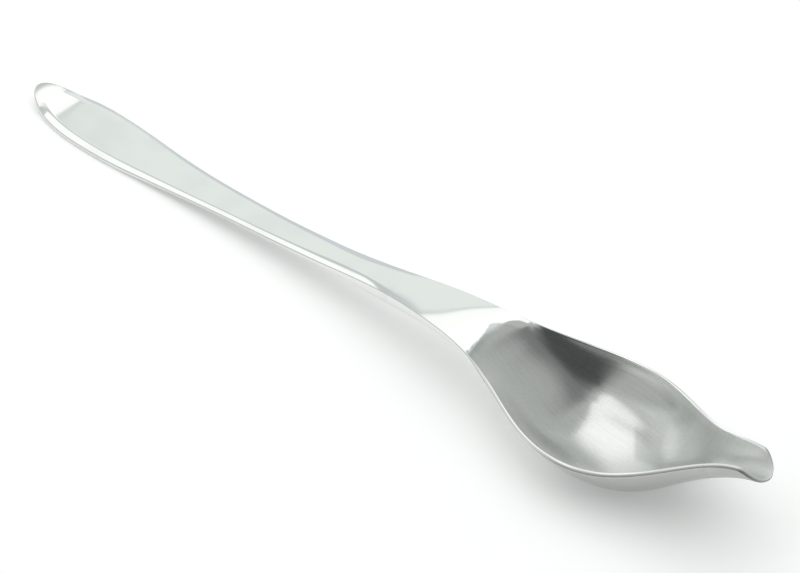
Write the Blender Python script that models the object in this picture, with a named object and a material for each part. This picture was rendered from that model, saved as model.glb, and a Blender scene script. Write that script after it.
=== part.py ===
"""Decorating spoon: a forged handle bar butt-welded to a pressed bowl with a pouring spout.

Lengths are given in millimetres and built in metres. The spoon lies on the plane z = 0 with
the spout towards +X, the origin halfway along it, and is symmetric about the XZ plane.
Distances along the spoon are measured from the tip of the handle's top face, so the two
pieces are modelled from there and carried to the middle by the empty that holds them.
"""

import math

import bmesh
import bpy
import numpy as np

MM = 0.001

# Overall form
FACE_LENGTH = 204.0
WELD_AT = 112.0
WELD_GAP = 0.3
EDGE_BULGE = 0.3

# Length of the rounded plan at each end
TIP_NOSE = 18.0
LIP_NOSE = 4.5

# Stretch over which the crown of the top face fades out
CROWN_FADE_FROM = 124.0
CROWN_FADE_TO = 138.0

# Sloping shoulders along both sides of the bar, growing from the tip and fading out over the
# neck, and the share of their width over which the crease above them is rounded
SHOULDER_SLOPE = 0.26
SHOULDER_CREASE = 0.1
SHOULDER_GROWN_AT = 8.0
SHOULDER_FADE_FROM = 100.0
SHOULDER_FADE_TO = 118.0

# Stretch over which the neck drops into the bowl
HEEL_FROM = 125.0
HEEL_TO = 139.0

# Stretch over which the level underside of the bar turns into the even wall of the bowl
HULL_FROM = 114.0
HULL_TO = 140.0

# Half width of the top face: tip, grip, taper, waist, neck flare, bowl, pinch, spout, lip
HALF_WIDTH = (
    (0.0, 6.3), (10.0, 6.53), (20.0, 6.74), (30.0, 6.39), (40.0, 5.46), (50.0, 4.65), (60.0, 4.1),
    (75.0, 3.67), (90.0, 3.55), (100.0, 3.6), (112.0, 4.3), (124.0, 5.72), (131.0, 6.65),
    (145.0, 10.1), (157.0, 14.5), (165.0, 15.7), (174.0, 13.9), (184.0, 9.0), (194.0, 4.6),
    (204.0, 2.7),
)

# Height of the edge of the top face: flat grip, rising bar, heel, rim dip, raised spout
EDGE_HEIGHT = (
    (0.0, 2.9), (3.0, 2.03), (6.0, 1.26), (8.0, 0.98), (10.0, 0.89), (13.0, 0.86), (22.0, 0.86),
    (28.0, 0.91), (35.0, 1.1), (45.0, 1.66), (55.0, 2.48), (65.0, 3.46), (75.0, 4.46),
    (85.0, 5.72), (94.0, 7.05), (102.0, 8.5), (110.0, 9.95), (118.0, 11.2), (124.0, 11.8),
    (130.0, 12.05), (141.0, 11.4), (153.0, 9.7), (165.0, 9.15), (175.0, 9.7), (184.0, 12.9),
    (194.0, 18.3), (200.0, 20.4), (204.0, 20.8),
)

# Thickness of the metal at the edge: thin grip, thick neck, pressed bowl
THICKNESS = (
    (0.0, 0.8), (15.0, 0.98), (30.0, 1.0), (45.0, 0.72), (75.0, 0.68), (90.0, 1.05), (98.0, 1.5),
    (104.0, 2.05), (110.0, 2.4), (116.0, 2.2), (124.0, 1.75), (132.0, 1.35), (142.0, 1.0),
    (170.0, 1.0), (204.0, 1.0),
)

# Width of the shoulders
SHOULDER_WIDTH = (
    (0.0, 1.4), (25.0, 1.5), (45.0, 1.12), (60.0, 0.94), (75.0, 1.02), (90.0, 1.25), (98.0, 1.35),
    (108.0, 1.1), (118.0, 0.8),
)

# Crown of the top face: almost flat bar, rounder neck
CROWN = (
    (0.0, 0.02), (50.0, 0.02), (90.0, 0.02), (104.0, 0.05), (114.0, 0.18), (122.0, 0.26),
    (128.0, 0.26), (140.0, 0.2),
)

# Depth of the floor along the centre line under the edge, from the heel to the lip
DEPTH = (
    (125.0, 0.2), (136.0, 0.6), (148.0, 4.4), (156.0, 7.25), (163.0, 7.95), (168.0, 8.1),
    (173.0, 8.3), (180.0, 7.85), (186.0, 6.0), (198.0, 3.5), (204.0, 2.0),
)

# Share of the depth taken by a round trough, the rest stands up late as a steep wall
ROUNDNESS = (
    (112.0, 1.0), (120.0, 1.0), (130.0, 0.75), (140.0, 0.35), (150.0, 0.12), (160.0, 0.35),
    (170.0, 0.22), (186.0, 0.22), (204.0, 0.35),
)
WALL_POWER = 4.0

# Fineness of the faces
NOSE_SECTIONS = 10
BAR_SECTIONS = 32
BOWL_SECTIONS = 54
LIP_SECTIONS = 7
BAR_COLUMNS = 12
BOWL_COLUMNS = 22
EDGE_POINTS = 5
SHARP_ANGLE = 50.0
PROBE = 0.02
MERGE = 0.001

# Finishes: linear colour and roughness
POLISHED = ((0.82, 0.83, 0.82), 0.12)
SATIN = ((0.72, 0.73, 0.71), 0.32)


def smooth_curve(stations):
    """Return a function that runs through the stations with steady curvature."""
    x, y = np.array(stations).T
    step = np.diff(x)
    slope = np.diff(y) / step
    count = len(x)
    matrix = np.eye(count)
    right = np.zeros(count)
    for i in range(1, count - 1):
        matrix[i, i - 1:i + 2] = step[i - 1], 2.0 * (step[i - 1] + step[i]), step[i]
        right[i] = 6.0 * (slope[i] - slope[i - 1])
    bend = np.linalg.solve(matrix, right)

    def value(at):
        at = min(max(at, x[0]), x[-1])
        i = min(int(np.searchsorted(x, at, side="right")) - 1, count - 2)
        a = x[i + 1] - at
        b = at - x[i]
        h = step[i]
        curve = (bend[i] * a ** 3 + bend[i + 1] * b ** 3) / (6.0 * h)
        line = (y[i] / h - bend[i] * h / 6.0) * a + (y[i + 1] / h - bend[i + 1] * h / 6.0) * b
        return float(curve + line)

    return value


half_width_at = smooth_curve(HALF_WIDTH)
edge_height_at = smooth_curve(EDGE_HEIGHT)
thickness_at = smooth_curve(THICKNESS)
shoulder_width_at = smooth_curve(SHOULDER_WIDTH)
crown_at = smooth_curve(CROWN)
depth_at = smooth_curve(DEPTH)
roundness_at = smooth_curve(ROUNDNESS)


def ease(value, start, end):
    """Return 0 before start, 1 after end and between them a step with no kink at either."""
    t = min(max((value - start) / (end - start), 0.0), 1.0)
    return t ** 3 * (t * (6.0 * t - 15.0) + 10.0)


def nose(distance, length):
    """Return the round-ended share of the full width at a distance from an end."""
    t = min(max(1.0 - distance / length, 0.0), 1.0)
    return math.sqrt(1.0 - t * t)


def outline(x):
    """Return the half width of the top face in plan, closed to zero at both ends."""
    return half_width_at(x) * nose(x, TIP_NOSE) * nose(FACE_LENGTH - x, LIP_NOSE)


def outward_plan(x):
    """Return the plan direction out of the outline on the positive side."""
    ahead = min(x + PROBE, FACE_LENGTH)
    behind = max(x - PROBE, 0.0)
    if x <= 0.0:
        return -1.0, 0.0
    if x >= FACE_LENGTH:
        return 1.0, 0.0
    flare = (outline(ahead) - outline(behind)) / (ahead - behind)
    lean = math.hypot(flare, 1.0)
    return -flare / lean, 1.0 / lean


def inset(x, y):
    """Return about how far inside the outline a plan point lies."""
    width = outline(x)
    if width <= 0.0:
        return 0.0
    return (width * width - y * y) / (2.0 * width) * outward_plan(x)[1]


def top_height(x, y):
    """Return the height of the top face at a plan point."""
    shoulder = shoulder_width_at(x)
    kept = ease(x, 0.0, SHOULDER_GROWN_AT) * (1.0 - ease(x, SHOULDER_FADE_FROM, SHOULDER_FADE_TO))
    drop = SHOULDER_SLOPE * shoulder * kept / (1.0 + SHOULDER_CREASE)
    crown = crown_at(x) * (1.0 - ease(x, CROWN_FADE_FROM, CROWN_FADE_TO))
    hollow = depth_at(x) * ease(x, HEEL_FROM, HEEL_TO) - crown
    share = abs(y) / half_width_at(x)
    roundness = roundness_at(x)
    raised = roundness * share ** 2 + (1.0 - roundness) * share ** WALL_POWER
    turn = max(1.0 - inset(x, y) / shoulder, 0.0)
    fallen = (1.0 + SHOULDER_CREASE) * turn * turn / (turn + SHOULDER_CREASE)
    return edge_height_at(x) + drop * (1.0 - fallen) - hollow * (1.0 - raised)


def top_slope(x, y):
    """Return the slopes of the top face along X and along Y at a plan point."""
    ahead = min(x + PROBE, FACE_LENGTH)
    behind = max(x - PROBE, 0.0)
    along = (top_height(ahead, y) - top_height(behind, y)) / (ahead - behind)
    over = (top_height(x, y + PROBE) - top_height(x, y - PROBE)) / (2.0 * PROBE)
    return along, over


def unit(vector):
    """Return the vector at length one."""
    return vector / np.linalg.norm(vector)


def top_point(x, y):
    """Return the point of the top face at a plan point."""
    return np.array((x, y, top_height(x, y)))


def under_point(x, y):
    """Return the point of the underside that belongs to a plan point of the top face.

    The bar has a level underside. From the heel on the underside follows the top face at the
    thickness of the metal. Both are ground flat where they lie on the table.
    """
    thickness = thickness_at(x)
    level = np.array((x, y, edge_height_at(x) - thickness))
    hull = ease(x, HULL_FROM, HULL_TO)
    along, over = top_slope(x, y)
    even = top_point(x, y) - thickness * unit(np.array((-along, -over, 1.0)))
    point = level + (even - level) * hull
    point[2] = max(point[2], 0.0)
    return point


def edge_arc(x, side):
    """Return the points of the rounded edge between the top face and the underside."""
    y = side * outline(x)
    upper = top_point(x, y)
    lower = under_point(x, y)
    out_x, out_y = outward_plan(x)
    out_y = side * out_y
    along, over = top_slope(x, y)
    outward = unit(np.array((out_x, out_y, along * out_x + over * out_y)))
    middle = (upper + lower) / 2.0
    half = (upper - lower) / 2.0
    points = []
    for i in range(1, EDGE_POINTS + 1):
        turn = math.pi * i / (EDGE_POINTS + 1)
        point = middle + half * math.cos(turn) + outward * EDGE_BULGE * math.sin(turn)
        point[2] = max(point[2], 0.0)
        points.append(point)
    return points


def section(x, columns):
    """Return the closed ring of points of one cross-section."""
    shares = [math.sin(math.pi * (i / columns - 0.5)) for i in range(columns + 1)]
    width = outline(x)
    ring = [top_point(x, width * share) for share in shares]
    ring += edge_arc(x, 1)
    ring += [under_point(x, width * share) for share in reversed(shares)]
    ring += reversed(edge_arc(x, -1))
    return ring


def flatten(ring, x):
    """Return the ring with all its points on the weld plane at x."""
    return [np.array((x, point[1], point[2])) for point in ring]


def loft(name, rings, capped, material, parent):
    """Make one closed object by skinning the rings and capping the one on the weld plane."""
    shape = bmesh.new()
    loops = []
    for ring in rings:
        loops.append([shape.verts.new(point * MM) for point in ring])
    count = len(loops[0])
    for first, second in zip(loops, loops[1:]):
        for i in range(count):
            j = (i + 1) % count
            shape.faces.new((first[i], second[i], second[j], first[j]))
    shape.faces.new(loops[capped])
    bmesh.ops.remove_doubles(shape, verts=shape.verts, dist=MERGE * MM)
    bmesh.ops.recalc_face_normals(shape, faces=shape.faces)
    for face in shape.faces:
        face.smooth = True
    mesh = bpy.data.meshes.new(name)
    shape.to_mesh(mesh)
    shape.free()
    mesh.set_sharp_from_angle(angle=math.radians(SHARP_ANGLE))
    mesh.materials.append(material)
    item = bpy.data.objects.new(name, mesh)
    item.parent = parent
    bpy.context.scene.collection.objects.link(item)
    return item


def steel(name, finish):
    """Return a Principled metal material for a finish."""
    colour, roughness = finish
    material = bpy.data.materials.new(name)
    material.use_nodes = True
    shader = material.node_tree.nodes["Principled BSDF"]
    shader.inputs["Base Color"].default_value = (*colour, 1.0)
    shader.inputs["Metallic"].default_value = 1.0
    shader.inputs["Roughness"].default_value = roughness
    return material


def handle_rings():
    """Return the cross-sections of the handle from the tip to the weld."""
    turns = [0.5 * math.pi * i / NOSE_SECTIONS for i in range(NOSE_SECTIONS)]
    places = [TIP_NOSE * (1.0 - math.cos(turn)) for turn in turns]
    places += list(np.linspace(TIP_NOSE, WELD_AT, BAR_SECTIONS))
    rings = [section(x, BAR_COLUMNS) for x in places]
    rings[-1] = flatten(rings[-1], WELD_AT)
    return rings


def bowl_rings():
    """Return the cross-sections of the bowl from the weld to the lip."""
    start = WELD_AT + WELD_GAP
    places = list(np.linspace(start, FACE_LENGTH - LIP_NOSE, BOWL_SECTIONS))
    turns = [0.5 * math.pi * i / LIP_SECTIONS for i in range(1, LIP_SECTIONS + 1)]
    places += [FACE_LENGTH - LIP_NOSE * (1.0 - math.sin(turn)) for turn in turns]
    places[-1] = FACE_LENGTH
    rings = [section(x, BOWL_COLUMNS) for x in places]
    rings[0] = flatten(rings[0], start)
    return rings


def main():
    """Build the handle and the bowl on an empty that sets the middle of the spoon at the origin."""
    for item in list(bpy.data.objects):
        bpy.data.objects.remove(item, do_unlink=True)
    spoon = bpy.data.objects.new("spoon", None)
    spoon.location = (-FACE_LENGTH / 2.0 * MM, 0.0, 0.0)
    bpy.context.scene.collection.objects.link(spoon)
    loft("handle", handle_rings(), -1, steel("polished_steel", POLISHED), spoon)
    loft("bowl", bowl_rings(), 0, steel("satin_steel", SATIN), spoon)
    bpy.context.view_layer.update()


main()
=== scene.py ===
"""Decorating spoon: a mirror-polished handle and a bowl with a satin inside and a pouring spout.

The visible surfaces follow the stations of the solids that they stand for. Lengths are in
millimetres along the spoon, measured from the tip of the handle's top face, and the node tree
that skins the cross-sections carries them to metres in the frame of the solids.
"""

import logging
import math
from dataclasses import dataclass
from enum import Enum
from types import SimpleNamespace
from typing import Callable, Protocol, Union

import bmesh
import bpy
import numpy as np
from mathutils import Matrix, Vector


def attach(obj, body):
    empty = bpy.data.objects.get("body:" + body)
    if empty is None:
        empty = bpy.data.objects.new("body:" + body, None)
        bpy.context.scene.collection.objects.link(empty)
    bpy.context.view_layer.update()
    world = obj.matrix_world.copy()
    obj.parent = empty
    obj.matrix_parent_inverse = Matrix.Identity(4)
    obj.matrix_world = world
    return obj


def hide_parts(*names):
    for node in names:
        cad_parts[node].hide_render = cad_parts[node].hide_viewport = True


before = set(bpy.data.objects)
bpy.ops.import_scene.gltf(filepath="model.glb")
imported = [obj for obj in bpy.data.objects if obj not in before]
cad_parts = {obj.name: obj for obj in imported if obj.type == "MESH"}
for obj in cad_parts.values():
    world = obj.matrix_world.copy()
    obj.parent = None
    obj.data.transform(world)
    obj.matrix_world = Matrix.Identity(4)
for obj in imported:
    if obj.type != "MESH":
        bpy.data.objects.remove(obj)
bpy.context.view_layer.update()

log = logging.getLogger("decorating_spoon")

MM = 0.001
NOISE_MIDDLE = 0.5
UV_NAME = "UVMap"
WHITE = (1.0, 1.0, 1.0)

Colour = tuple[float, float, float]
Pair = tuple[float, float]
Span = tuple[float, float]
Stations = tuple[Pair, ...]
Curve = Callable[[np.ndarray], np.ndarray]
Scalar = Union[float, "Field"]
Paint = Union[Colour, bpy.types.NodeSocket]
Value = Union[Scalar, Paint]


class Track(Enum):
    """The lines on a piece that its finish follows, each a value at every point."""

    ALONG = "along"
    ACROSS = "across"
    TURN = "turn"


class Field:
    """A number that runs through a node tree and takes plain arithmetic."""

    def __init__(self, tree: bpy.types.NodeTree, socket: bpy.types.NodeSocket) -> None:
        """Hold the tree and the output that gives the number."""
        self.tree = tree
        self.socket = socket

    def __add__(self, other: Scalar) -> "Field":
        """Return the sum."""
        return operate(self.tree, "ADD", self, other)

    __radd__ = __add__

    def __sub__(self, other: Scalar) -> "Field":
        """Return the difference."""
        return operate(self.tree, "SUBTRACT", self, other)

    def __rsub__(self, other: Scalar) -> "Field":
        """Return the difference from a plain number."""
        return operate(self.tree, "SUBTRACT", other, self)

    def __mul__(self, other: Scalar) -> "Field":
        """Return the product."""
        return operate(self.tree, "MULTIPLY", self, other)

    __rmul__ = __mul__

    def __truediv__(self, other: Scalar) -> "Field":
        """Return the quotient."""
        return operate(self.tree, "DIVIDE", self, other)

    def __pow__(self, other: Scalar) -> "Field":
        """Return this number raised to a power."""
        return operate(self.tree, "POWER", self, other)

    def __abs__(self) -> "Field":
        """Return the size without its sign."""
        return operate(self.tree, "ABSOLUTE", self)

    def at_least(self, low: Scalar) -> "Field":
        """Return this number or the low one, whichever is more."""
        return operate(self.tree, "MAXIMUM", self, low)

    def at_most(self, high: Scalar) -> "Field":
        """Return this number or the high one, whichever is less."""
        return operate(self.tree, "MINIMUM", self, high)

    def within(self, low: Scalar, high: Scalar) -> "Field":
        """Return this number held between two bounds."""
        return self.at_least(low).at_most(high)

    def rise(self, start: Scalar, end: Scalar) -> "Field":
        """Return a smooth step from 0 up to the start to 1 from the end on."""
        share = ((self - start) / (end - start)).within(0.0, 1.0)
        return share * share * (3.0 - 2.0 * share)

    def toward(self, other: Scalar, share: Scalar) -> "Field":
        """Return this number moved by a share of the way to another."""
        return self + (other - self) * share


def plug(tree: bpy.types.NodeTree, value: Value, socket: bpy.types.NodeSocket) -> None:
    """Give a socket its value, linked from an output or set plainly.

    Args:
        tree: The node tree that holds the socket.
        value: The field, output, colour or number.
        socket: The input that takes it.
    """
    if isinstance(value, Field):
        tree.links.new(value.socket, socket)
    elif isinstance(value, bpy.types.NodeSocket):
        tree.links.new(value, socket)
    else:
        socket.default_value = (*value, 1.0) if isinstance(value, tuple) else value


def grow(tree: bpy.types.NodeTree, kind: str, *values: Value) -> bpy.types.Node:
    """Add a node to a tree.

    Args:
        tree: The node tree.
        kind: The kind of node.
        values: What its first inputs take.

    Returns:
        The node.
    """
    node = tree.nodes.new(kind)
    for socket, value in zip(node.inputs, values):
        plug(tree, value, socket)
    return node


def operate(tree: bpy.types.NodeTree, operation: str, *values: Scalar) -> Field:
    """Return the result of a math node.

    Args:
        tree: The node tree that gets the node.
        operation: The node's operation.
        values: Its operands.

    Returns:
        The result.
    """
    node = grow(tree, "ShaderNodeMath", *values)
    node.operation = operation
    return Field(tree, node.outputs[0])


def combine(tree: bpy.types.NodeTree, *axes: Scalar) -> bpy.types.NodeSocket:
    """Return the output that joins three numbers into a vector."""
    return grow(tree, "ShaderNodeCombineXYZ", *axes).outputs[0]


def split(tree: bpy.types.NodeTree, vector: bpy.types.NodeSocket) -> tuple[Field, ...]:
    """Return the three numbers that make up a vector."""
    return tuple(Field(tree, axis) for axis in grow(tree, "ShaderNodeSeparateXYZ", vector).outputs)


def blend(
    tree: bpy.types.NodeTree, share: Field, first: Paint, second: Paint
) -> bpy.types.NodeSocket:
    """Mix two colours, each given plainly or by an output.

    Args:
        tree: The node tree that gets the node.
        share: The share of the second colour.
        first: The colour where the share is 0.
        second: The colour where it is 1.

    Returns:
        The output that gives the mix.
    """
    node = grow(tree, "ShaderNodeMix", share)
    node.data_type = "RGBA"
    takers = [socket for socket in node.inputs if socket.type == "RGBA"]
    for socket, colour in zip(takers, (first, second)):
        plug(tree, colour, socket)
    return next(socket for socket in node.outputs if socket.type == "RGBA")


@dataclass(frozen=True)
class Band:
    """A stretch of a field that comes in over one span and goes out over another."""

    comes: Span
    goes: Span

    def on(self, field: Field) -> Field:
        """Return 1 on the stretch and 0 off it, with a smooth step at both ends."""
        return field.rise(*self.comes) * (1.0 - field.rise(*self.goes))


class Profile:
    """A line through stations along the spoon, with steady curvature between them."""

    def __init__(self, stations: Stations) -> None:
        """Work out the bend of the line at each station.

        Args:
            stations: Pairs of distance along the spoon and value there.
        """
        self.places, self.values = np.array(stations, dtype=float).T
        step = np.diff(self.places)
        slope = np.diff(self.values) / step
        matrix = np.eye(len(stations))
        right = np.zeros(len(stations))
        for i in range(1, len(stations) - 1):
            matrix[i, i - 1:i + 2] = step[i - 1], 2.0 * (step[i - 1] + step[i]), step[i]
            right[i] = 6.0 * (slope[i] - slope[i - 1])
        self.bend = np.linalg.solve(matrix, right)

    def __call__(self, at: np.ndarray) -> np.ndarray:
        """Return the values of the line.

        Args:
            at: Distances along the spoon.

        Returns:
            The value at each distance.
        """
        at = np.clip(at, self.places[0], self.places[-1])
        last = len(self.places) - 2
        i = np.clip(np.searchsorted(self.places, at, side="right") - 1, 0, last)
        width = self.places[i + 1] - self.places[i]
        before = self.places[i + 1] - at
        after = at - self.places[i]
        curve = (self.bend[i] * before ** 3 + self.bend[i + 1] * after ** 3) / (6.0 * width)
        first = self.values[i] / width - self.bend[i] * width / 6.0
        second = self.values[i + 1] / width - self.bend[i + 1] * width / 6.0
        return curve + first * before + second * after


def ease(at: np.ndarray, start: float, end: float) -> np.ndarray:
    """Return a step from 0 to 1 whose slope and bend both start and end at nothing."""
    t = np.clip((at - start) / (end - start), 0.0, 1.0)
    return t ** 3 * (t * (6.0 * t - 15.0) + 10.0)


def round_end(distance: np.ndarray, length: float) -> np.ndarray:
    """Return the share of the full width at distances from an end with a rounding of a length."""
    t = np.clip(1.0 - distance / length, 0.0, 1.0)
    return np.sqrt(1.0 - t * t)


@dataclass(frozen=True)
class SpoonForm:
    """The sizes of the spoon in millimetres, from the tip of the handle to the lip of the spout."""

    face_length: float = 204.0
    weld_at: float = 112.15
    edge_bulge: float = 0.25
    tip_nose: float = 18.0
    lip_nose: float = 4.5
    crown_fade: Span = (124.0, 138.0)
    shoulder_slope: float = 0.26
    shoulder_crease: float = 0.1
    shoulder_grown_at: float = 8.0
    shoulder_fade: Span = (100.0, 118.0)
    heel: Span = (131.5, 143.5)
    hull_turn: Span = (114.0, 140.0)
    wall_power: float = 4.0
    probe: float = 0.001

    half_width: Profile = Profile((
        (0.0, 6.3), (10.0, 6.53), (20.0, 6.74), (30.0, 6.39), (40.0, 5.46), (50.0, 4.65),
        (60.0, 4.1), (75.0, 3.67), (90.0, 3.55), (100.0, 3.6), (112.0, 4.3), (124.0, 5.72),
        (131.0, 6.65), (145.0, 10.1), (157.0, 14.5), (165.0, 15.7), (174.0, 13.9), (184.0, 9.0),
        (194.0, 4.6), (204.0, 2.7),
    ))
    edge: Profile = Profile((
        (0.0, 2.9), (3.0, 2.03), (6.0, 1.26), (8.0, 0.98), (10.0, 0.89), (13.0, 0.86), (22.0, 0.86),
        (28.0, 0.91), (35.0, 1.1), (45.0, 1.66), (55.0, 2.48), (65.0, 3.46), (75.0, 4.46),
        (85.0, 5.72), (94.0, 7.05), (102.0, 8.5), (110.0, 9.95), (118.0, 11.2), (124.0, 11.8),
        (130.0, 12.05), (141.0, 11.4), (153.0, 9.7), (165.0, 9.15), (175.0, 9.7), (184.0, 12.9),
        (194.0, 18.3), (200.0, 20.4), (204.0, 20.8),
    ))
    thickness: Profile = Profile((
        (0.0, 0.8), (15.0, 0.98), (30.0, 1.0), (45.0, 0.72), (75.0, 0.68), (90.0, 1.05),
        (98.0, 1.5), (104.0, 2.05), (110.0, 2.4), (116.0, 2.2), (124.0, 1.75), (132.0, 1.35),
        (142.0, 1.0), (170.0, 1.0), (204.0, 1.0),
    ))
    shoulder: Profile = Profile((
        (0.0, 1.4), (25.0, 1.5), (45.0, 1.12), (60.0, 0.94), (75.0, 1.02), (90.0, 1.25),
        (98.0, 1.35), (108.0, 1.1), (118.0, 0.8),
    ))
    crown: Profile = Profile((
        (0.0, 0.02), (50.0, 0.02), (90.0, 0.02), (104.0, 0.05), (114.0, 0.18), (122.0, 0.26),
        (128.0, 0.26), (140.0, 0.2),
    ))
    depth: Profile = Profile((
        (125.0, 0.2), (136.0, 0.6), (148.0, 4.4), (156.0, 7.25), (163.0, 7.95), (168.0, 8.1),
        (173.0, 8.3), (180.0, 7.85), (186.0, 6.0), (198.0, 3.5), (204.0, 2.0),
    ))
    roundness: Profile = Profile((
        (112.0, 1.0), (120.0, 1.0), (130.0, 0.75), (140.0, 0.35), (150.0, 0.12), (160.0, 0.35),
        (170.0, 0.22), (186.0, 0.22), (204.0, 0.35),
    ))

    def outline(self, at: np.ndarray) -> np.ndarray:
        """Return the half width of the top face in plan, closed to nothing at both ends."""
        closed = round_end(at, self.tip_nose) * round_end(self.face_length - at, self.lip_nose)
        return self.half_width(at) * closed

    def drop(self, at: np.ndarray) -> np.ndarray:
        """Return how far the shoulders fall from the top face to its edge.

        Args:
            at: Distances along the spoon.

        Returns:
            The fall at each distance.
        """
        kept = 1.0 - ease(at, *self.shoulder_fade)
        kept = kept * ease(at, 0.0, self.shoulder_grown_at)
        width = self.shoulder(at)
        return self.shoulder_slope * width * kept / (1.0 + self.shoulder_crease)

    def hollow(self, at: np.ndarray) -> np.ndarray:
        """Return how far the middle of the top face lies under its sides.

        Args:
            at: Distances along the spoon.

        Returns:
            The depth at each distance, less than 0 where the face is crowned.
        """
        fading = 1.0 - ease(at, *self.crown_fade)
        crown = self.crown(at) * fading
        return self.depth(at) * ease(at, *self.heel) - crown

    def slope(self, curve: Curve, at: np.ndarray) -> np.ndarray:
        """Return how fast a curve of this spoon changes along it.

        Args:
            curve: The curve, as a function of distances along the spoon.
            at: The distances.

        Returns:
            The slope at each distance.
        """
        ahead = np.minimum(at + self.probe, self.face_length)
        behind = np.maximum(at - self.probe, 0.0)
        return (curve(ahead) - curve(behind)) / (ahead - behind)

    def rails(self, at: np.ndarray) -> dict[str, np.ndarray]:
        """Return what the node tree needs to know at each station.

        Args:
            at: Distances of the stations along the spoon.

        Returns:
            One row of values for each named rail.
        """
        flare = self.slope(self.outline, at)
        leaning = np.hypot(flare, 1.0)
        at_end = (at <= 0.0) | (at >= self.face_length)
        rails = {
            "place": at,
            "outline": self.outline(at),
            "shoulder": self.shoulder(at),
            "hull": ease(at, *self.hull_turn),
            "thickness": self.thickness(at),
            "out_x": np.where(at_end, -np.sign(flare), -flare / leaning),
            "out_y": np.where(at_end, 0.0, 1.0 / leaning),
            "flat": (np.abs(at - self.weld_at) < self.probe).astype(float),
        }
        curves = {
            "half_width": self.half_width,
            "edge": self.edge,
            "drop": self.drop,
            "hollow": self.hollow,
            "roundness": self.roundness,
        }
        for name, curve in curves.items():
            rails[name] = curve(at)
            rails[f"{name}_slope"] = self.slope(curve, at)
        return rails


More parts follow.
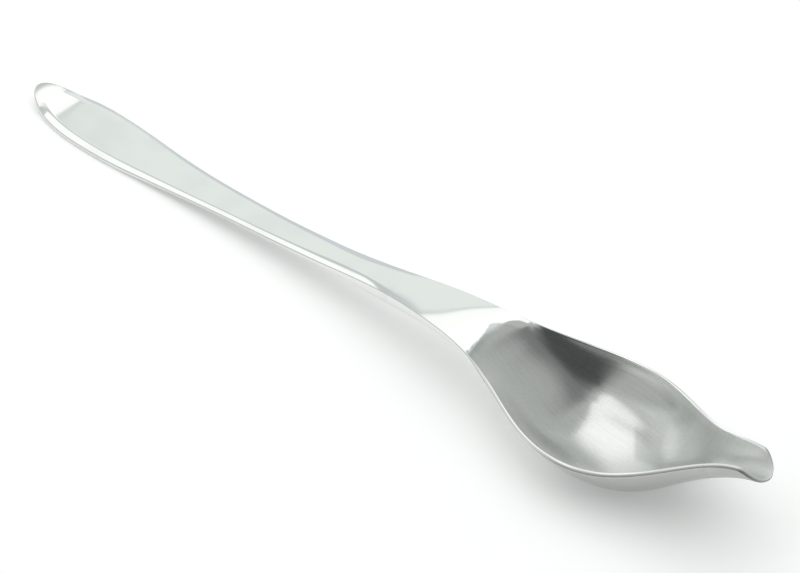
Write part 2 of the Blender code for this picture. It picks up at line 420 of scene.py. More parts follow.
class LoftTree:
    """Geometry node tree that skins the spoon's cross-sections along a line of stations.

    The points of the line carry the rails. A ring of points goes once round each section: over
    the top face, round one edge, back under the section and round the other edge.
    """

    INPUTS = {
        "NodeSocketGeometry": ("Geometry",),
        "NodeSocketInt": ("Stations", "Columns", "Edge Steps"),
        "NodeSocketFloat": (
            "Wall Power", "Shoulder Crease", "Edge Bulge", "Middle", "Unit", "Merge Distance",
        ),
        "NodeSocketMaterial": ("Finish",),
    }
    SMALLEST_SHARE = 1e-5

    def __init__(self, form: SpoonForm) -> None:
        """Build the tree.

        Args:
            form: The sizes of the spoon, which name the rails.
        """
        self.rails = tuple(form.rails(np.zeros(1)))
        self.tree = bpy.data.node_groups.new("spoon_loft", "GeometryNodeTree")
        self.identifiers: dict[str, str] = {}
        for kind, names in self.INPUTS.items():
            for name in names:
                socket = self.tree.interface.new_socket(name, in_out="INPUT", socket_type=kind)
                self.identifiers[name] = socket.identifier
        self.tree.interface.new_socket(
            "Geometry", in_out="OUTPUT", socket_type="NodeSocketGeometry"
        )
        self.given = self.tree.nodes.new("NodeGroupInput")
        self._wire()

    def _size(self, name: str) -> Field:
        """Return one of the tree's named sizes."""
        return Field(self.tree, self.given.outputs[name])

    def _rail(self, name: str, row: Field) -> Field:
        """Return a rail's value at the station of a row.

        Args:
            name: The rail's name on the line.
            row: The number of the station.

        Returns:
            The value.
        """
        line = self.given.outputs["Geometry"]
        carried = grow(self.tree, "GeometryNodeInputNamedAttribute", name).outputs["Attribute"]
        sample = grow(self.tree, "GeometryNodeSampleIndex", line, carried, row)
        return Field(self.tree, sample.outputs["Value"])

    def _ring(self, column: Field) -> tuple[Field, Field]:
        """Return where a column of the grid lies on its ring.

        Args:
            column: The number of the column.

        Returns:
            The share across the width, from -1 to 1, and the turn round the edge, from 0 on the
            top face to 1 underneath.
        """
        columns = self._size("Columns")
        steps = self._size("Edge Steps") + 1.0
        over = column.within(0.0, columns)
        down = (column - columns).within(0.0, steps)
        back = (column - columns - steps).within(0.0, columns)
        up = (column - columns * 2.0 - steps).within(0.0, steps)
        across = operate(self.tree, "SINE", ((over - back) / columns - 0.5) * math.pi)
        return across, (down - up) / steps

    def _top(self, rail: SimpleNamespace, across: Field) -> tuple[Field, Field, Field]:
        """Return the top face at a point.

        Args:
            rail: The rails at the point's station.
            across: Its share across the width.

        Returns:
            The height of the face and its slopes along the spoon and across it.
        """
        power = self._size("Wall Power")
        crease = self._size("Shoulder Crease")
        share = (abs(rail.outline * across) / rail.half_width).at_least(self.SMALLEST_SHARE)
        trough = share * share
        wall = share ** power
        raised = wall.toward(trough, rail.roundness)
        inset = rail.outline * (1.0 - across * across) / 2.0 * rail.out_y
        turned = (1.0 - inset / rail.shoulder).at_least(0.0)
        eased = turned + crease
        fallen = (crease + 1.0) * turned * turned / eased
        height = rail.edge + rail.drop * (1.0 - fallen) - rail.hollow * (1.0 - raised)

        fall = (crease + 1.0) * turned * (eased + crease) / (eased * eased)
        fall = fall * rail.drop / rail.shoulder
        swell = (wall * power).toward(trough * 2.0, rail.roundness)
        widening = rail.half_width_slope / rail.half_width
        rounding = rail.roundness_slope * (trough - wall)
        lean_x = rail.edge_slope + rail.drop_slope * (1.0 - fallen)
        lean_x = lean_x - rail.hollow_slope * (1.0 - raised)
        lean_x = lean_x + rail.hollow * (rounding - swell * widening)
        lean_x = lean_x - fall * rail.out_x * (1.0 + across * across) / 2.0
        side = operate(self.tree, "SIGN", across)
        lean_y = rail.hollow * swell / share / rail.half_width * side
        lean_y = lean_y - fall * rail.out_y * across
        return height, lean_x, lean_y

    def _under(
        self, rail: SimpleNamespace, over: Field, top: Field, lean: tuple[Field, Field]
    ) -> tuple[Field, Field, Field]:
        """Return the point of the underside that belongs to a point of the top face.

        Args:
            rail: The rails at the point's station.
            over: How far it lies from the middle of the width.
            top: The height of the top face there.
            lean: The slopes of the top face along the spoon and across it.

        Returns:
            The X, Y and Z of the underside in millimetres.
        """
        lean_x, lean_y = lean
        steep = operate(self.tree, "SQRT", lean_x * lean_x + lean_y * lean_y + 1.0)
        depth = rail.thickness / steep
        level = rail.edge - rail.thickness
        x = rail.place + lean_x * depth * rail.hull
        y = over + lean_y * depth * rail.hull
        return x, y, level.toward(top - depth, rail.hull).at_least(0.0)

    def _place(self, row: Field, across: Field, turn: Field) -> bpy.types.NodeSocket:
        """Return the place of a point of the skin.

        Args:
            row: The number of its station.
            across: Its share across the width.
            turn: Its turn round the edge.

        Returns:
            The output that gives the place in metres.
        """
        tree = self.tree
        rail = SimpleNamespace(**{name: self._rail(name, row) for name in self.rails})
        over = rail.outline * across
        top, lean_x, lean_y = self._top(rail, across)
        under_x, under_y, under_z = self._under(rail, over, top, (lean_x, lean_y))

        out_x = rail.out_x
        out_y = rail.out_y * operate(tree, "SIGN", across)
        out_z = lean_x * out_x + lean_y * out_y
        reach = operate(tree, "SQRT", out_x * out_x + out_y * out_y + out_z * out_z)
        angle = turn * math.pi
        bulge = self._size("Edge Bulge") * operate(tree, "SINE", angle) / reach
        lower = (1.0 - operate(tree, "COSINE", angle)) / 2.0
        x = rail.place.toward(under_x, lower) + out_x * bulge
        x = x.toward(rail.place, rail.flat)
        y = over.toward(under_y, lower) + out_y * bulge
        z = (top.toward(under_z, lower) + out_z * bulge).at_least(0.0)
        unit = self._size("Unit")
        return combine(tree, (x - self._size("Middle")) * unit, y * unit, z * unit)

    def _pass(
        self, skin: bpy.types.NodeSocket, kind: str, **values: Value
    ) -> bpy.types.NodeSocket:
        """Pass the skin through a node.

        Args:
            skin: The output that gives the skin so far.
            kind: The kind of node.
            values: What its other inputs take, by name.

        Returns:
            The output that gives the skin after it.
        """
        node = grow(self.tree, kind, skin)
        for name, value in values.items():
            plug(self.tree, value, node.inputs[name])
        return node.outputs[0]

    def _wire(self) -> None:
        """Lay out the grid, move its points to the skin and finish it."""
        ring = (self._size("Columns") + self._size("Edge Steps") + 1.0) * 2.0 + 1.0
        grid = grow(self.tree, "GeometryNodeMeshGrid")
        plug(self.tree, self._size("Stations"), grid.inputs["Vertices X"])
        plug(self.tree, ring, grid.inputs["Vertices Y"])
        index = Field(self.tree, grow(self.tree, "GeometryNodeInputIndex").outputs[0])
        row = operate(self.tree, "FLOOR", (index + 0.5) / ring)
        across, turn = self._ring(index - row * ring)

        store = "GeometryNodeStoreNamedAttribute"
        mapped = grow(self.tree, store, grid.outputs["Mesh"])
        mapped.data_type = "FLOAT2"
        mapped.domain = "CORNER"
        plug(self.tree, UV_NAME, mapped.inputs["Name"])
        plug(self.tree, grid.outputs["UV Map"], mapped.inputs["Value"])
        skin = mapped.outputs[0]
        tracks = {Track.ACROSS: across, Track.TURN: turn, Track.ALONG: self._rail("place", row)}
        for track, value in tracks.items():
            skin = self._pass(skin, store, Name=track.value, Value=value)
        place = self._place(row, across, turn)
        skin = self._pass(skin, "GeometryNodeSetPosition", Position=place)
        near = self._size("Merge Distance")
        skin = self._pass(skin, "GeometryNodeMergeByDistance", Distance=near)
        skin = self._pass(skin, "GeometryNodeSetShadeSmooth")
        skin = self._pass(skin, "GeometryNodeRealizeInstances")
        finish = self.given.outputs["Finish"]
        skin = self._pass(skin, "GeometryNodeSetMaterial", Material=finish)
        grow(self.tree, "NodeGroupOutput", skin)

    def skin(self, item: bpy.types.Object, sizes: dict[str, object]) -> None:
        """Turn a line of stations into the plain mesh of its skin.

        Args:
            item: The object that holds the line.
            sizes: The tree's inputs by name.
        """
        modifier = item.modifiers.new("loft", "NODES")
        modifier.node_group = self.tree
        for name, value in sizes.items():
            modifier[self.identifiers[name]] = value
        graph = bpy.context.evaluated_depsgraph_get()
        mesh = bpy.data.meshes.new_from_object(item.evaluated_get(graph))
        item.modifiers.remove(modifier)
        line = item.data
        item.data = mesh
        mesh.name = item.name
        bpy.data.meshes.remove(line)


class Finish(Protocol):
    """Anything that a piece can be dressed in."""

    def material(self) -> bpy.types.Material:
        """Return the finish as a material."""


class Steel:
    """A Principled metal material that is put together from fields."""

    # Third coordinate of a flat pattern, off the planes on which noise shows its lattice
    SLICE = 0.37

    def __init__(self, name: str) -> None:
        """Start the material.

        Args:
            name: The material's name.
        """
        self.material = bpy.data.materials.new(name)
        self.material.use_nodes = True
        self.tree = self.material.node_tree
        self.shader = self.tree.nodes["Principled BSDF"]
        self.shader.inputs["Metallic"].default_value = 1.0
        place = grow(self.tree, "ShaderNodeTexCoord")
        self.axes = split(self.tree, place.outputs["Object"])

    def track(self, track: Track) -> Field:
        """Return the value of one of the piece's tracks.

        Args:
            track: The track.

        Returns:
            Its value at each point.
        """
        node = self.tree.nodes.new("ShaderNodeAttribute")
        node.attribute_name = track.value
        return Field(self.tree, node.outputs["Fac"])

    def noise(self, *axes: Scalar, detail: float = 2.0, rough: float = 0.5) -> Field:
        """Return a cloudy pattern.

        Args:
            axes: Where the pattern is read, in cells of the pattern.
            detail: How many finer layers it has.
            rough: How strong they are.

        Returns:
            The pattern, mostly between 0.3 and 0.7.
        """
        node = grow(self.tree, "ShaderNodeTexNoise", combine(self.tree, *axes))
        node.inputs["Scale"].default_value = 1.0
        node.inputs["Detail"].default_value = detail
        node.inputs["Roughness"].default_value = rough
        return Field(self.tree, node.outputs["Fac"])

    def pattern(self, first: Field, second: Field, cells: Pair, **layers: float) -> Field:
        """Return a cloudy pattern over two fields, with a number of cells to one unit of each."""
        one, other = cells
        return self.noise(first * one, second * other, self.SLICE, **layers)

    def paint(self, colour: bpy.types.NodeSocket) -> None:
        """Set the metal's colour."""
        plug(self.tree, colour, self.shader.inputs["Base Color"])

    def roughen(self, value: Field) -> None:
        """Set the roughness."""
        plug(self.tree, value, self.shader.inputs["Roughness"])

    def emboss(self, height: Field, depth: float) -> None:
        """Raise the surface by a pattern.

        Args:
            height: The pattern.
            depth: How far a height of 1 stands up, in metres.
        """
        node = self.tree.nodes.new("ShaderNodeBump")
        node.inputs["Distance"].default_value = depth
        plug(self.tree, height, node.inputs["Height"])
        self.tree.links.new(node.outputs["Normal"], self.shader.inputs["Normal"])

    def comb(self, strength: float, turn: float) -> None:
        """Stretch the reflections across the direction of the brushing.

        Args:
            strength: How much they are stretched.
            turn: The direction of the brushing as a share of a full turn.
        """
        self.shader.inputs["Anisotropic"].default_value = strength
        self.shader.inputs["Anisotropic Rotation"].default_value = turn
        node = self.tree.nodes.new("ShaderNodeTangent")
        node.direction_type = "UV_MAP"
        node.uv_map = UV_NAME
        self.tree.links.new(node.outputs["Tangent"], self.shader.inputs["Tangent"])


@dataclass(frozen=True)
class PolishedHandleSteel:
    """Mirror polish with faint lengthwise hairlines and soft waves left by the wheel."""

    name: str = "polished_handle_steel"
    clean: Colour = (0.80, 0.81, 0.795)
    wiped: Colour = (0.77, 0.785, 0.77)
    roughness: float = 0.07
    smudge: float = 0.05
    smear: Span = (0.42, 0.68)
    hairline_pitch: float = 0.00035
    hairline_length: float = 0.03
    hairline_share: float = 0.01
    wave_length: float = 0.011
    wave_depth: float = 0.000012

    def material(self) -> bpy.types.Material:
        """Put the material together.

        Returns:
            The material.
        """
        steel = Steel(self.name)
        x, y, z = steel.axes
        hair = steel.noise(
            x / self.hairline_length, y / self.hairline_pitch, z / self.hairline_pitch
        )
        cloud = steel.noise(x / self.wave_length, y / self.wave_length, z / self.wave_length)
        smear = cloud.rise(*self.smear)
        steel.paint(blend(steel.tree, smear, self.clean, self.wiped))
        steel.roughen(self.roughness + (smear + hair - NOISE_MIDDLE) * self.smudge)
        steel.emboss(cloud + hair * self.hairline_share, self.wave_depth)
        return steel.material


@dataclass(frozen=True)
class Spot:
    """Where a point of the bowl lies.

    Along runs in millimetres from the tip of the handle, and over in millimetres from the middle
    to the far side. Across runs from -1 on the near edge to 1 on the far one, and turn from 0 on
    the top face round the edge to 1 underneath.
    """

    along: Field
    across: Field
    turn: Field
    over: Field

    @classmethod
    def of(cls, steel: Steel) -> "Spot":
        """Return the spot that the fields of a steel give."""
        along, across, turn = (steel.track(track) for track in Track)
        return cls(along, across, turn, steel.axes[1] / MM)


@dataclass(frozen=True)
class SatinBorder:
    """The border of the brushing, which tilts over the heel, sweeps back and follows the rim."""

    heel_at: float = 134.3
    tilt: float = -2.3
    sweep_from: float = 0.2
    sweep: float = 18.0
    blur: float = 0.6
    swept_blur: float = 11.0
    fray: float = 0.6
    fray_cells: Pair = (0.05, 3.3)
    # Width of the line inside the heel border that the material darkens and cools as painted shade
    heel_line: Span = (0.4, 2.4)
    rim: Span = (0.985, 0.998)
    edge: Span = (0.0, 0.05)

    def shares(self, steel: Steel, spot: Spot) -> tuple[Field, Field]:
        """Return how far the metal is brushed, and its share of the painted shade along the heel.

        Args:
            steel: The steel that is brushed.
            spot: Where its points lie.

        Returns:
            Both shares, from 0 to 1.
        """
        frayed = steel.pattern(spot.along, spot.over, self.fray_cells) - NOISE_MIDDLE
        swept = (spot.across - self.sweep_from).at_least(0.0)
        swept = swept * swept
        heel = self.heel_at + spot.across * self.tilt + swept * self.sweep + frayed * self.fray
        inside = spot.along.rise(heel, heel + self.blur + swept * self.swept_blur)
        inside = inside * (1.0 - abs(spot.across).rise(*self.rim))
        inside = inside * (1.0 - spot.turn.rise(*self.edge))
        start, end = self.heel_line
        return inside, inside * (1.0 - spot.along.rise(heel + start, heel + end))


@dataclass(frozen=True)
class BrushMarks:
    """Straight brush marks that give way to rings before the spout, with a grain over both."""

    straight_cells: Pair = (0.12, 80.0)
    straight_detail: float = 3.0
    straight_fineness: float = 0.6
    ring_along: float = 176.0
    ring_over: float = 10.0
    ring_cells: Pair = (2.2, 0.05)
    ring_stretch: Span = (168.0, 178.0)
    ring_share: float = 0.7
    grain_cells: Pair = (2.4, 2.4)
    grain_share: float = 0.35

    def height(self, steel: Steel, spot: Spot) -> Field:
        """Return the height of the marks.

        Args:
            steel: The steel that is brushed.
            spot: Where its points lie.

        Returns:
            The height, mostly between 0.3 and 0.7.
        """
        layers = {"detail": self.straight_detail, "rough": self.straight_fineness}
        straight = steel.pattern(spot.along, spot.across, self.straight_cells, **layers)
        reach = (spot.along - self.ring_along) ** 2.0 + (spot.over - self.ring_over) ** 2.0
        rings = steel.pattern(reach ** 0.5, spot.along, self.ring_cells)
        grain = steel.pattern(spot.along, spot.over, self.grain_cells)
        marks = straight.toward(rings, spot.along.rise(*self.ring_stretch) * self.ring_share)
        return marks.toward(grain, self.grain_share)


@dataclass(frozen=True)
class BowlShades:
    """Patches of the bowl's inside: painted highlights, painted shade, and a softer finish."""

    # Near wall: painted light that lifts it, and a rougher finish
    near_across: Span = (0.35, 0.8)
    near_along: Band = Band((138.0, 144.0), (168.0, 182.0))
    near_painted_light: float = 0.25
    near_softness: float = 0.35
    # Far rim inside: a painted highlight towards the spout, and a rougher finish all along
    far_across: Span = (0.94, 0.995)
    far_along: Span = (160.0, 168.0)
    far_painted_highlight: float = 0.25
    far_softness: float = 0.35
    # Arcs beside the bright patch: painted shade in the dark one and a painted highlight in the
    # pale one
    arc_slant: float = 0.85
    dark_arc: Band = Band((172.6, 174.2), (179.0, 182.0))
    dark_over: Band = Band((0.5, 2.5), (6.5, 9.0))
    dark_arc_painted_shade: float = 0.21
    pale_arc: Band = Band((179.5, 183.0), (186.5, 191.0))
    pale_over: Band = Band((3.0, 5.0), (9.5, 12.0))
    pale_arc_painted_highlight: float = 0.24
    # A patch of the wall with painted shade that dims a mirrored bright spot
    wall_slant: float = 0.18
    wall_height: Span = (-19.2, -17.2)
    wall_across: Span = (0.9, 0.96)
    wall_along: Band = Band((154.0, 158.5), (171.0, 175.0))
    wall_painted_shade: float = 0.26
    spout_along: Span = (166.0, 174.0)
    spout_softness: float = 0.14

    def near(self, spot: Spot) -> Field:
        """Return the share of the near wall."""
        return (0.0 - spot.across).rise(*self.near_across) * self.near_along.on(spot.along)

    def brightness(self, spot: Spot, ripple: Field) -> Field:
        """Return the brightness of the brushed metal, with painted highlights and painted shade.

        Args:
            spot: Where its points lie.
            ripple: What the brush marks add.

        Returns:
            The brightness as a factor of the plain metal's.
        """
        arc = spot.along + spot.over * self.arc_slant
        dark = self.dark_arc.on(arc) * self.dark_over.on(spot.over)
        pale = self.pale_arc.on(arc) * self.pale_over.on(spot.over)
        wall = (spot.over - spot.along * self.wall_slant).rise(*self.wall_height)
        wall = wall * (1.0 - spot.across.rise(*self.wall_across)) * self.wall_along.on(spot.along)
        far = spot.across.rise(*self.far_across) * spot.along.rise(*self.far_along)
        # Painted shade and painted highlights over the brush marks
        shaded = 1.0 - dark * self.dark_arc_painted_shade + pale * self.pale_arc_painted_highlight - wall * self.wall_painted_shade
        lifted = 1.0 + ripple + self.near(spot) * self.near_painted_light
        return lifted * shaded * (1.0 + far * self.far_painted_highlight)

    def softness(self, spot: Spot) -> Field:
        """Return what the patches add to the roughness of the brushed metal.

        Args:
            spot: Where its points lie.

        Returns:
            The added roughness.
        """
        added = self.near(spot) * self.near_softness
        added = added + spot.along.rise(*self.spout_along) * self.spout_softness
        return added + spot.across.rise(*self.far_across) * self.far_softness


@dataclass(frozen=True)
class RimShades:
    """Painted highlight on the rim's ridge, painted shade below it and outside, and a soft lip."""

    # Painted highlight along the ridge of the rim
    ridge_turn: Band = Band((0.0, 0.12), (0.4, 0.55))
    ridge_along: Span = (136.0, 146.0)
    ridge_painted_highlight: float = 0.24
    # Painted shade in a line under the rim and over the outside of the bowl
    line_turn: Band = Band((0.45, 0.6), (0.8, 0.95))
    line_painted_shade: float = 0.3
    outside_turn: Span = (0.55, 0.75)
    outside_painted_shade: float = 0.26
    outside_along: Span = (159.0, 170.0)
    lip_along: Span = (191.0, 197.0)
    lip_softness: float = 0.5

    def brightness(self, spot: Spot) -> Field:
        """Return the brightness of the polished metal, with painted highlight and painted shade.

        Args:
            spot: Where its points lie.

        Returns:
            The brightness as a factor of the plain metal's.
        """
        ridge = self.ridge_turn.on(spot.turn) * spot.along.rise(*self.ridge_along)
        lost = spot.turn.rise(*self.outside_turn) * self.outside_painted_shade
        lost = lost + self.line_turn.on(spot.turn) * self.line_painted_shade
        return 1.0 + ridge * self.ridge_painted_highlight - lost * spot.along.rise(*self.outside_along)

    def softness(self, spot: Spot) -> Field:
        """Return what the lip adds to the roughness of the polished metal."""
        return spot.along.rise(*self.lip_along) * self.lip_softness


@dataclass(frozen=True)
class SatinBowlSteel:
    """Polished neck, rim and outside round an inside that is brushed along its length."""

    name: str = "satin_bowl_steel"
    hue: Colour = (0.995, 1.008, 0.99)
    clean: float = 0.805
    brushed: float = 0.715
    mark_contrast: float = 0.4
    mark_depth: float = 0.000010
    # Painted shade: a darker, cooler line just inside the heel border, standing in for a
    # reflection's edge
    heel_line_painted_shade: float = 0.2
    heel_line_painted_tint: float = 0.07
    polish_roughness: float = 0.08
    polish_wander: float = 0.04
    satin_roughness: float = 0.18
    satin_wander: float = 0.10
    cloud_cells: Pair = (0.12, 0.12)
    comb_strength: float = 0.5
    comb_turn: float = 0.25
    border: SatinBorder = SatinBorder()
    marks: BrushMarks = BrushMarks()
    bowl: BowlShades = BowlShades()
    rim: RimShades = RimShades()

    def material(self) -> bpy.types.Material:
        """Put the material together.

        Returns:
            The material.
        """
        steel = Steel(self.name)
        spot = Spot.of(steel)
        inside, heel_line = self.border.shares(steel, spot)
        marks = self.marks.height(steel, spot)
        ripple = marks - NOISE_MIDDLE
        cloud = steel.pattern(spot.along, spot.over, self.cloud_cells) - NOISE_MIDDLE

        # The polished metal gets the rim's painted highlight and painted shade
        clean = self.clean * self.rim.brightness(spot)
        # The brushed inside gets the bowl's painted highlights and painted shade
        brushed = self.brushed * self.bowl.brightness(spot, ripple * self.mark_contrast)
        # Painted shade, darker and cooler, along the heel border
        brushed = brushed * (1.0 - heel_line * self.heel_line_painted_shade)
        red, green, blue = (clean.toward(brushed, inside) * part for part in self.hue)
        red = red * (1.0 - heel_line * self.heel_line_painted_tint)
        steel.paint(combine(steel.tree, red, green, blue))

        polish = self.polish_roughness + cloud * self.polish_wander + self.rim.softness(spot)
        satin = self.satin_roughness + (ripple + cloud) * self.satin_wander
        steel.roughen(polish.toward(satin + self.bowl.softness(spot), inside))
        steel.emboss(marks * inside, self.mark_depth)
        steel.comb(self.comb_strength, self.comb_turn)
        return steel.material


@dataclass(frozen=True)
class SpoonPiece:
    """A piece of the spoon between two stations, skinned by the loft tree."""

    name: str
    node: str
    slot: str
    start: float
    end: float
    finish: Finish
    form: SpoonForm = SpoonForm()
    stations: int = 300
    columns: int = 60
    edge_steps: int = 9
    merge: float = 0.0000005

    def places(self) -> np.ndarray:
        """Return the stations, closest together at both ends of the piece."""
        turn = np.linspace(0.0, math.pi, self.stations)
        return self.start + (self.end - self.start) * (1.0 - np.cos(turn)) / 2.0

    def line(self) -> bpy.types.Object:
        """Make the line of stations with the rails on its points.

        Returns:
            The object that holds the line.
        """
        mesh = bpy.data.meshes.new(f"{self.name}_line")
        places = self.places()
        mesh.from_pydata([(place * MM, 0.0, 0.0) for place in places], [], [])
        for name, values in self.form.rails(places).items():
            layer = mesh.attributes.new(name, "FLOAT", "POINT")
            layer.data.foreach_set("value", values.astype(np.float32))
        item = bpy.data.objects.new(self.name, mesh)
        bpy.context.scene.collection.objects.link(item)
        return item

    def dress(self) -> dict[str, object]:
        """Return the inputs of the loft tree, with the finish that it puts on the skin.

        Returns:
            The inputs by name.
        """
        return {
            "Stations": self.stations,
            "Columns": self.columns,
            "Edge Steps": self.edge_steps,
            "Wall Power": self.form.wall_power,
            "Shoulder Crease": self.form.shoulder_crease,
            "Edge Bulge": self.form.edge_bulge,
            "Middle": self.form.face_length / 2.0,
            "Unit": MM,
            "Merge Distance": self.merge,
            "Finish": self.finish.material(),
        }

    def close(self, item: bpy.types.Object) -> None:
        """Cap the weld end of the skin and turn all faces outwards.

        Args:
            item: The object that holds the skin.
        """
        shape = bmesh.new()
        shape.from_mesh(item.data)
        open_edges = [edge for edge in shape.edges if edge.is_boundary]
        cap = bmesh.ops.holes_fill(shape, edges=open_edges, sides=0)["faces"]
        for part in (*open_edges, *cap):
            part.smooth = False
        bmesh.ops.recalc_face_normals(shape, faces=shape.faces)
        shape.to_mesh(item.data)
        shape.free()

    def build(self, tree: LoftTree) -> bpy.types.Object:
        """Make the dressed piece.

        Args:
            tree: The node tree that skins the sections.

        Returns:
            The finished piece.
        """
        item = self.line()
        tree.skin(item, self.dress())
        self.close(item)
        return item

    def fit(self, item: bpy.types.Object) -> None:
        """Let the piece stand for its solid.

        Args:
            item: The finished piece.
        """
        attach(item, "root")
        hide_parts(self.node)


@dataclass(frozen=True)
class Handle(SpoonPiece):
    """The polished bar with the tip, the grip, the waist and the rear half of the neck."""

    name: str = "polished_handle"
    node: str = "handle"
    slot: str = "polished_steel"
    start: float = 0.0
    end: float = SpoonForm.weld_at
    finish: Finish = PolishedHandleSteel()


@dataclass(frozen=True)
class Bowl(SpoonPiece):
    """The pressed sheet with the front half of the neck, the heel, the bowl and the spout."""

    name: str = "spouted_bowl"
    node: str = "bowl"
    slot: str = "satin_steel"
    start: float = SpoonForm.weld_at
    end: float = SpoonForm.face_length
    finish: Finish = SatinBowlSteel()


@dataclass(frozen=True)
class Card:
    """A soft-edged patch of the room, by compass direction and height in degrees."""

    name: str
    west: float
    east: float
    low: float
    high: float
    soft: float
    colour: Colour


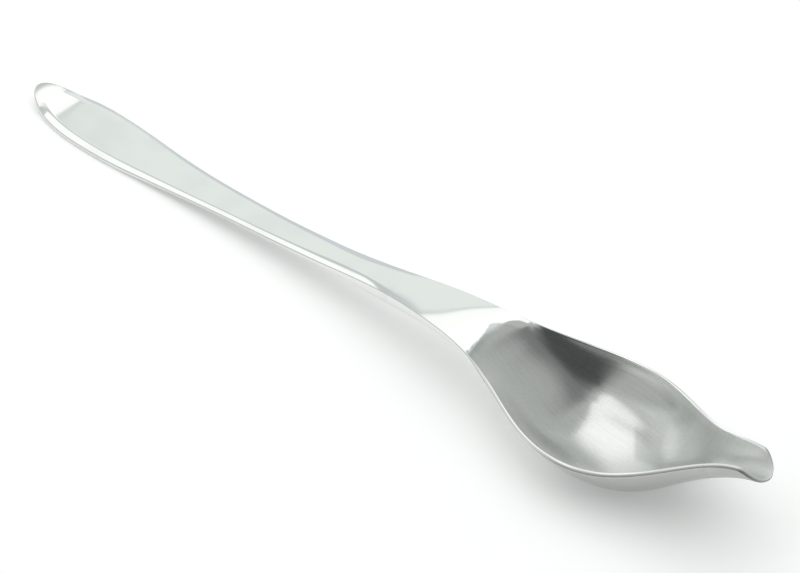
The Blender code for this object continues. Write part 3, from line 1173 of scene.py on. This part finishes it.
@dataclass(frozen=True)
class Studio:
    """The floor, the softbox, the room that the steel mirrors, and the camera."""

    floor_size: float = 6.0
    floor_drop: float = 0.00005
    floor_albedo: float = 0.88
    floor_glow: float = 0.21
    key_azimuth: float = -49.0
    key_height: float = 70.0
    key_distance: float = 0.8
    key_width: float = 1.4
    key_length: float = 1.4
    key_bearing: float = -30.0
    key_power: float = 4.8
    room: Colour = (0.53, 0.55, 0.535)
    camera_azimuth: float = 44.0608
    camera_height: float = 40.0
    camera_distance: float = 0.6
    camera_lens: float = 131.79
    camera_near: float = 0.01
    camera_far: float = 20.0
    aim: tuple[float, float, float] = (0.001538, 0.007955, 0.0)

    def cards(self) -> tuple[Card, ...]:
        """Return the patches of the room, the later ones over the earlier ones."""
        return (
            Card("pale_wall", -205.0, -60.0, -90.0, 62.0, 10.0, (0.72, 0.745, 0.725)),
            Card("pale_wall_foot", -205.0, -62.0, -90.0, 10.0, 9.0, (0.40, 0.42, 0.41)),
            Card("bright_wall", -62.0, -33.0, -90.0, 62.0, 5.0, (0.94, 0.98, 0.95)),
            Card("bright_wall_foot", -66.0, -26.0, -90.0, 18.0, 2.0, (0.72, 0.76, 0.785)),
            Card("grey_ceiling", 8.0, 160.0, 57.0, 85.0, 8.0, (0.23, 0.24, 0.24)),
            Card("dark_side", 95.0, 181.0, 10.0, 72.0, 14.0, (0.08, 0.085, 0.085)),
            Card("dark_side_past_south", -265.0, -179.0, 10.0, 72.0, 14.0, (0.08, 0.085, 0.085)),
            Card("ledge", -64.0, -10.0, 37.2, 40.0, 0.5, (0.68, 0.74, 0.75)),
            Card("window_gap", -68.0, -56.0, 28.0, 54.0, 1.5, (0.65, 0.70, 0.71)),
            Card("ceiling_light", -155.0, -40.0, 66.0, 82.0, 2.5, (1.18, 1.19, 1.17)),
            Card("window", -83.0, -67.0, 33.0, 53.5, 0.9, (1.22, 1.23, 1.21)),
            Card("upper_softbox", -58.0, -28.0, 57.0, 80.0, 2.0, (1.20, 1.21, 1.19)),
            Card("lower_softbox", -57.0, -30.5, 38.5, 46.0, 0.7, (1.22, 1.23, 1.21)),
            Card("middle_softbox", -50.0, -27.0, 44.0, 60.0, 0.7, (1.30, 1.31, 1.29)),
        )

    @staticmethod
    def toward(azimuth: float, height: float) -> Vector:
        """Return the direction to a place in the room.

        Args:
            azimuth: Its compass direction in degrees, 0 along +Y and 90 along +X.
            height: Its height over the floor in degrees.

        Returns:
            The direction at length one.
        """
        a = math.radians(azimuth)
        h = math.radians(height)
        return Vector((math.sin(a) * math.cos(h), math.cos(a) * math.cos(h), math.sin(h)))

    def build_floor(self) -> None:
        """Lay the pale floor."""
        half = self.floor_size / 2.0
        mesh = bpy.data.meshes.new("studio_floor")
        corners = ((-half, -half), (half, -half), (half, half), (-half, half))
        mesh.from_pydata([(x, y, -self.floor_drop) for x, y in corners], [], [(0, 1, 2, 3)])
        floor = bpy.data.objects.new("studio_floor", mesh)
        bpy.context.scene.collection.objects.link(floor)
        material = bpy.data.materials.new("studio_paper")
        material.use_nodes = True
        tree = material.node_tree
        tree.nodes.clear()
        # The paper glows only where the camera sees it, straight on or in a mirror or glass
        path = grow(tree, "ShaderNodeLightPath")
        rays = ("Is Camera Ray", "Is Glossy Ray", "Is Transmission Ray")
        straight, mirrored, through = (Field(tree, path.outputs[ray]) for ray in rays)
        seen = (straight + mirrored + through).at_most(1.0)
        matt = grow(tree, "ShaderNodeBsdfDiffuse", (self.floor_albedo,) * 3)
        glow = grow(tree, "ShaderNodeEmission", WHITE, seen * self.floor_glow)
        both = grow(tree, "ShaderNodeAddShader", matt.outputs[0], glow.outputs[0])
        grow(tree, "ShaderNodeOutputMaterial", both.outputs[0])
        mesh.materials.append(material)

    def build_key(self) -> None:
        """Hang the lamp behind the spoon that throws its shadow towards the camera."""
        light = bpy.data.lights.new("key_lamp", "AREA")
        light.shape = "RECTANGLE"
        light.size = self.key_width
        light.size_y = self.key_length
        light.energy = self.key_power
        item = bpy.data.objects.new("key_lamp", light)
        item.location = self.toward(self.key_azimuth, self.key_height) * self.key_distance
        item.rotation_euler = (0.0, 0.0, -math.radians(self.key_bearing))
        item.visible_camera = False
        item.visible_glossy = False
        bpy.context.scene.collection.objects.link(item)

    def build_room(self) -> None:
        """Paint the room that lights the spoon and shows in the steel."""
        world = bpy.data.worlds.new("studio_room")
        world.use_nodes = True
        tree = world.node_tree
        tree.nodes.clear()
        x, y, z = split(tree, grow(tree, "ShaderNodeTexCoord").outputs["Generated"])
        to_degrees = 180.0 / math.pi
        azimuth = operate(tree, "ARCTAN2", x, y) * to_degrees
        height = operate(tree, "ARCSINE", z) * to_degrees
        colour: Paint = self.room
        for card in self.cards():
            share: Scalar = 1.0
            sides = ((azimuth, card.west, card.east), (height, card.low, card.high))
            for field, low, high in sides:
                share = share * field.rise(low - card.soft, low + card.soft)
                share = share * (1.0 - field.rise(high - card.soft, high + card.soft))
            colour = blend(tree, share, colour, card.colour)
            colour.node.label = card.name
        room = grow(tree, "ShaderNodeBackground", colour)
        white = grow(tree, "ShaderNodeBackground", WHITE)
        straight = grow(tree, "ShaderNodeLightPath").outputs["Is Camera Ray"]
        pick = grow(tree, "ShaderNodeMixShader", straight, room.outputs[0], white.outputs[0])
        grow(tree, "ShaderNodeOutputWorld", pick.outputs[0])
        bpy.context.scene.world = world

    def build_camera(self) -> None:
        """Set the camera at the viewing angle of the photograph."""
        data = bpy.data.cameras.new("photo_camera")
        data.sensor_fit = "HORIZONTAL"
        data.lens = self.camera_lens
        data.clip_start = self.camera_near
        data.clip_end = self.camera_far
        camera = bpy.data.objects.new("photo_camera", data)
        back = self.toward(180.0 - self.camera_azimuth, self.camera_height)
        camera.location = Vector(self.aim) + back * self.camera_distance
        tilt = math.radians(90.0 - self.camera_height)
        camera.rotation_euler = (tilt, 0.0, math.radians(self.camera_azimuth))
        bpy.context.scene.collection.objects.link(camera)
        bpy.context.scene.camera = camera

    def build(self) -> None:
        """Set up the whole studio."""
        self.build_floor()
        self.build_key()
        self.build_room()
        self.build_camera()
        bpy.context.scene.view_settings.view_transform = "Standard"


def main() -> None:
    """Build the studio and the two pieces of the spoon, and log each piece's faces."""
    logging.basicConfig(level=logging.INFO, format="%(message)s")
    Studio().build()
    tree = LoftTree(SpoonForm())
    for piece in (Handle(), Bowl()):
        item = piece.build(tree)
        piece.fit(item)
        log.info("%s: %d faces in place of %s", item.name, len(item.data.polygons), piece.node)


if __name__ == "__main__":
    main()
